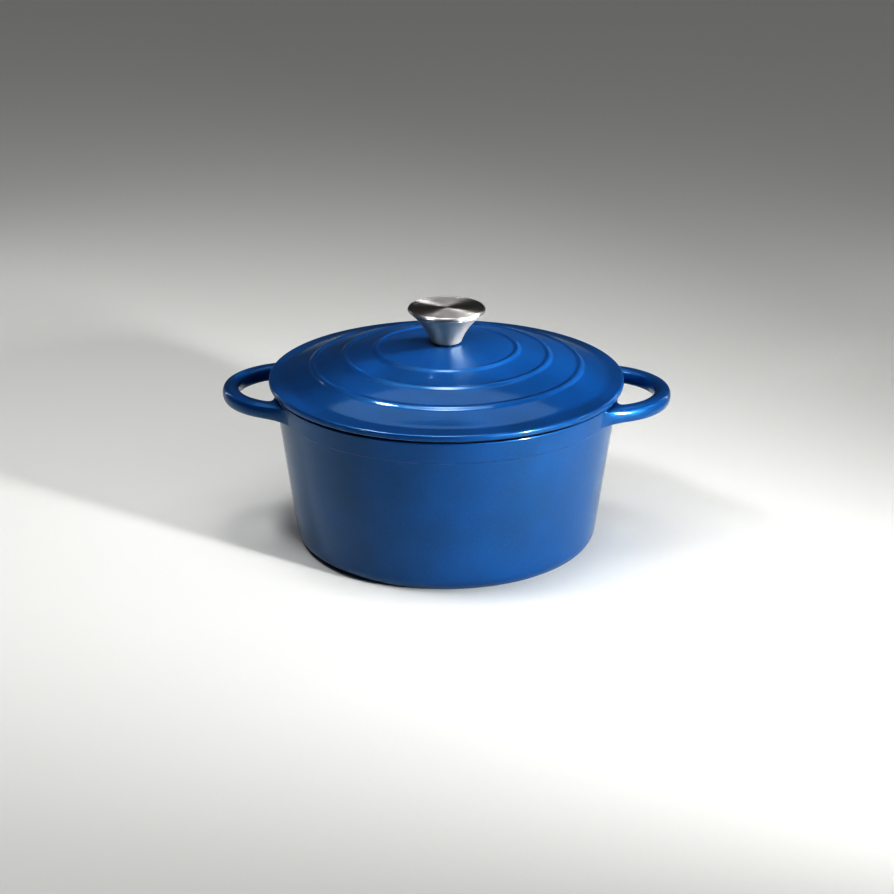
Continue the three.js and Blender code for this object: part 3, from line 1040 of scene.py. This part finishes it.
class OVEN_OT_fastening(bpy.types.Operator):
    """Builds the screw, the washers and the insert that hold the knob on"""

    bl_idname = "oven.fastening"
    bl_label = "Fastening"

    def execute(self, context):
        knob = context.scene.oven_knob
        hole = context.scene.oven_lid.hole_radius
        plated = zinc()
        shoulder = SPRING_LOW.z - knob.touch
        head = SCREW_HIGH.x
        shank = knob.screw_radius
        tip = SCREW_HIGH.z

        before = outline(
            [
                (0, SCREW_LOW.z),
                (head, SCREW_LOW.z, 1.8 * MM),
                (head, shoulder, 0.2 * MM),
                (shank, shoulder, 0.2 * MM),
                (shank, shoulder + 1.5 * MM),
            ],
            6,
        )
        rows = threaded_rows(
            shank, shoulder + 1.6 * MM, tip - 0.6 * MM, knob.thread_pitch, knob.thread_depth
        )
        after = [(shank - 0.7 * MM, tip), (0, tip)]
        screw = add_object("pan_head_screw", threaded(before, rows, after), [plated])
        slots = {"width": 1.4 * MM, "span": 6.4 * MM, "depth": 2.0 * MM}
        cut(screw, lambda bm: cross_recess(bm, SCREW_LOW.z, **slots))

        bore = shank + knob.touch
        turned_down = INSERT_HIGH.x - 0.4 * MM
        before = outline(
            [
                (bore, INSERT_HIGH.z),
                (INSERT_HIGH.x, INSERT_HIGH.z, 0.3 * MM),
                (INSERT_HIGH.x, INSERT_HIGH.z - 3 * MM),
                (turned_down, INSERT_HIGH.z - 3.4 * MM),
                (turned_down, INSERT_LOW.z + 3.4 * MM),
                (INSERT_HIGH.x, INSERT_LOW.z + 3 * MM),
                (INSERT_HIGH.x, INSERT_LOW.z, 0.3 * MM),
                (bore, INSERT_LOW.z),
            ],
            4,
        )
        rows = threaded_rows(
            bore + knob.thread_depth,
            INSERT_LOW.z + 0.1 * MM,
            INSERT_HIGH.z - 0.1 * MM,
            knob.thread_pitch,
            knob.thread_depth,
        )
        insert = add_object("threaded_insert", threaded(before, rows, [], closed=True), [plated])

        start = (hole, (WASHER_LOW.z + WASHER_HIGH.z) / 2)
        washer_points = outline(
            [
                start,
                (hole, WASHER_LOW.z, 0.1 * MM),
                (WASHER_HIGH.x, WASHER_LOW.z, 0.3 * MM),
                (WASHER_HIGH.x, WASHER_HIGH.z, 0.15 * MM),
                (hole, WASHER_HIGH.z, 0.1 * MM),
                start,
            ],
            4,
        )[:-1]
        washer = add_object("plain_washer", turned(washer_points, facets=96, closed=True), [plated])
        ring = spring_ring(hole, SPRING_HIGH.y, SPRING_LOW.z, SPRING_HIGH.z, knob.split)
        spring = add_object("split_washer", ring, [plated])

        nodes = (
            (screw, "knob_screw"),
            (insert, "knob_insert"),
            (washer, "flat_washer"),
            (spring, "spring_washer"),
        )
        for piece, node in nodes:
            even_out(piece)
            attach(piece, "lid")
            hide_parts(node)
        return {"FINISHED"}


# ---------------- studio


def softbox(name, place, target, width, depth, power, spread=180):
    """A rectangular soft light that faces a point. A grid narrows its spread, in degrees."""
    light = bpy.data.lights.new(name, "AREA")
    light.shape = "RECTANGLE"
    light.size = width
    light.size_y = depth
    light.energy = power
    light.spread = math.radians(spread)
    lamp = bpy.data.objects.new(name, light)
    lamp.location = place
    lamp.rotation_euler = (Vector(target) - Vector(place)).to_track_quat("-Z", "Y").to_euler()
    bpy.context.scene.collection.objects.link(lamp)


MIDDLE = (0.0, 0.0, 0.09)  # of the pot with its lid
KNOB = (0.0, 0.0, 0.165)
LIGHTS = (  # name, place, target, width, depth, power in watts, spread in degrees
    ("ceiling grid", (0.0, 0.0, 6.0), (0.0, 0.0, 0.0), 40.0, 40.0, 900.0, 24),
    ("overhead softbox", (0.02, -0.20, 1.05), MIDDLE, 0.72, 0.26, 1.7),
    ("left overhead", (-0.45, -0.16, 0.95), MIDDLE, 0.32, 0.15, 3.2),
    ("back overhead", (0.02, 0.50, 0.95), MIDDLE, 1.00, 0.30, 0.7),
    ("right strip", (0.96, -0.80, 0.40), (0.05, 0.0, 0.07), 0.10, 0.22, 1.75, 50),
    ("front key", (0.50, -0.80, 0.30), (0.08, 0.0, 0.06), 0.2, 0.3, 0.03, 50),
    ("edge strip", (0.10, -1.25, 1.05), MIDDLE, 1.4, 0.05, 0.9),
    ("back left strip", (-0.80, 0.62, 0.34), MIDDLE, 0.08, 0.55, 0.35),
    ("back right strip", (0.80, 0.62, 0.34), MIDDLE, 0.08, 0.55, 0.35),
    ("knob light", (0.70, 0.06, 0.42), KNOB, 0.12, 0.12, 0.16, 10),
    ("knob edge light", (-0.50, -0.45, 0.40), KNOB, 0.02, 0.12, 0.018, 14),
)


class OVEN_OT_studio(bpy.types.Operator):
    """Sets up the camera, the floor and the lights"""

    bl_idname = "oven.studio"
    bl_label = "Studio"

    def execute(self, context):
        scene = context.scene
        studio = scene.oven_studio

        lens = bpy.data.cameras.new("studio camera")
        lens.lens = studio.lens
        lens.sensor_width = 36.0
        lens.shift_x = studio.shift
        camera = bpy.data.objects.new("studio camera", lens)
        camera.location = (
            studio.distance * math.sin(studio.turn),
            -studio.distance * math.cos(studio.turn),
            studio.height,
        )
        level = Euler((math.pi / 2 - studio.pitch, 0.0, studio.turn)).to_matrix()
        camera.rotation_euler = (level @ Euler((0.0, 0.0, studio.roll)).to_matrix()).to_euler()
        scene.collection.objects.link(camera)
        scene.camera = camera

        paper = fine_matt(
            "seamless paper", studio.floor_colour, studio.floor_light,
            grain_size=4 * MM, roughness=0.8, refraction=1.4,
        )
        half = studio.floor_size / 2

        def sheet(bm):
            bmesh.ops.create_grid(bm, x_segments=8, y_segments=8, size=half)

        floor = add_object("floor", sheet, [paper])

        for light in LIGHTS:
            softbox(*light)

        world = bpy.data.worlds.new("even light")
        world.use_nodes = True
        even = world.node_tree.nodes["Background"]
        even.inputs["Color"].default_value = (1.0, 1.0, 1.0, 1.0)
        even.inputs["Strength"].default_value = studio.world
        scene.world = world
        scene.view_settings.view_transform = "Standard"
        scene.view_settings.look = "Very High Contrast"
        return {"FINISHED"}


# ---------------- panel and main


class OVEN_PT_panel(bpy.types.Panel):
    """Lists the pieces in the sidebar"""

    bl_idname = "OVEN_PT_panel"
    bl_label = "Dutch Oven"
    bl_space_type = "VIEW_3D"
    bl_region_type = "UI"
    bl_category = "Dutch Oven"

    def draw(self, context):
        for operator in PIECES:
            self.layout.operator(operator.bl_idname)
        for name in SETTINGS:
            group = getattr(context.scene, name)
            box = self.layout.box()
            box.label(text=name.replace("_", " ").capitalize())
            for prop in group.__annotations__:
                box.prop(group, prop)


PIECES = (OVEN_OT_studio, OVEN_OT_pot, OVEN_OT_lid, OVEN_OT_knob, OVEN_OT_fastening)
SETTINGS = {
    "oven_pot": PotSettings,
    "oven_lid": LidSettings,
    "oven_knob": KnobSettings,
    "oven_finish": FinishSettings,
    "oven_studio": StudioSettings,
}


def register():
    """Adds the settings, the operators and the panel to Blender."""
    for cls in (*SETTINGS.values(), *PIECES, OVEN_PT_panel):
        bpy.utils.register_class(cls)
    for name, group in SETTINGS.items():
        setattr(bpy.types.Scene, name, PointerProperty(type=group))


def unregister():
    """Takes away what register added."""
    for name in SETTINGS:
        delattr(bpy.types.Scene, name)
    for cls in reversed((*SETTINGS.values(), *PIECES, OVEN_PT_panel)):
        bpy.utils.unregister_class(cls)


def main():
    """Builds every piece around the frame."""
    register()
    for operator in PIECES:
        group, name = operator.bl_idname.split(".")
        getattr(getattr(bpy.ops, group), name)()


if __name__ == "__main__":
    main()
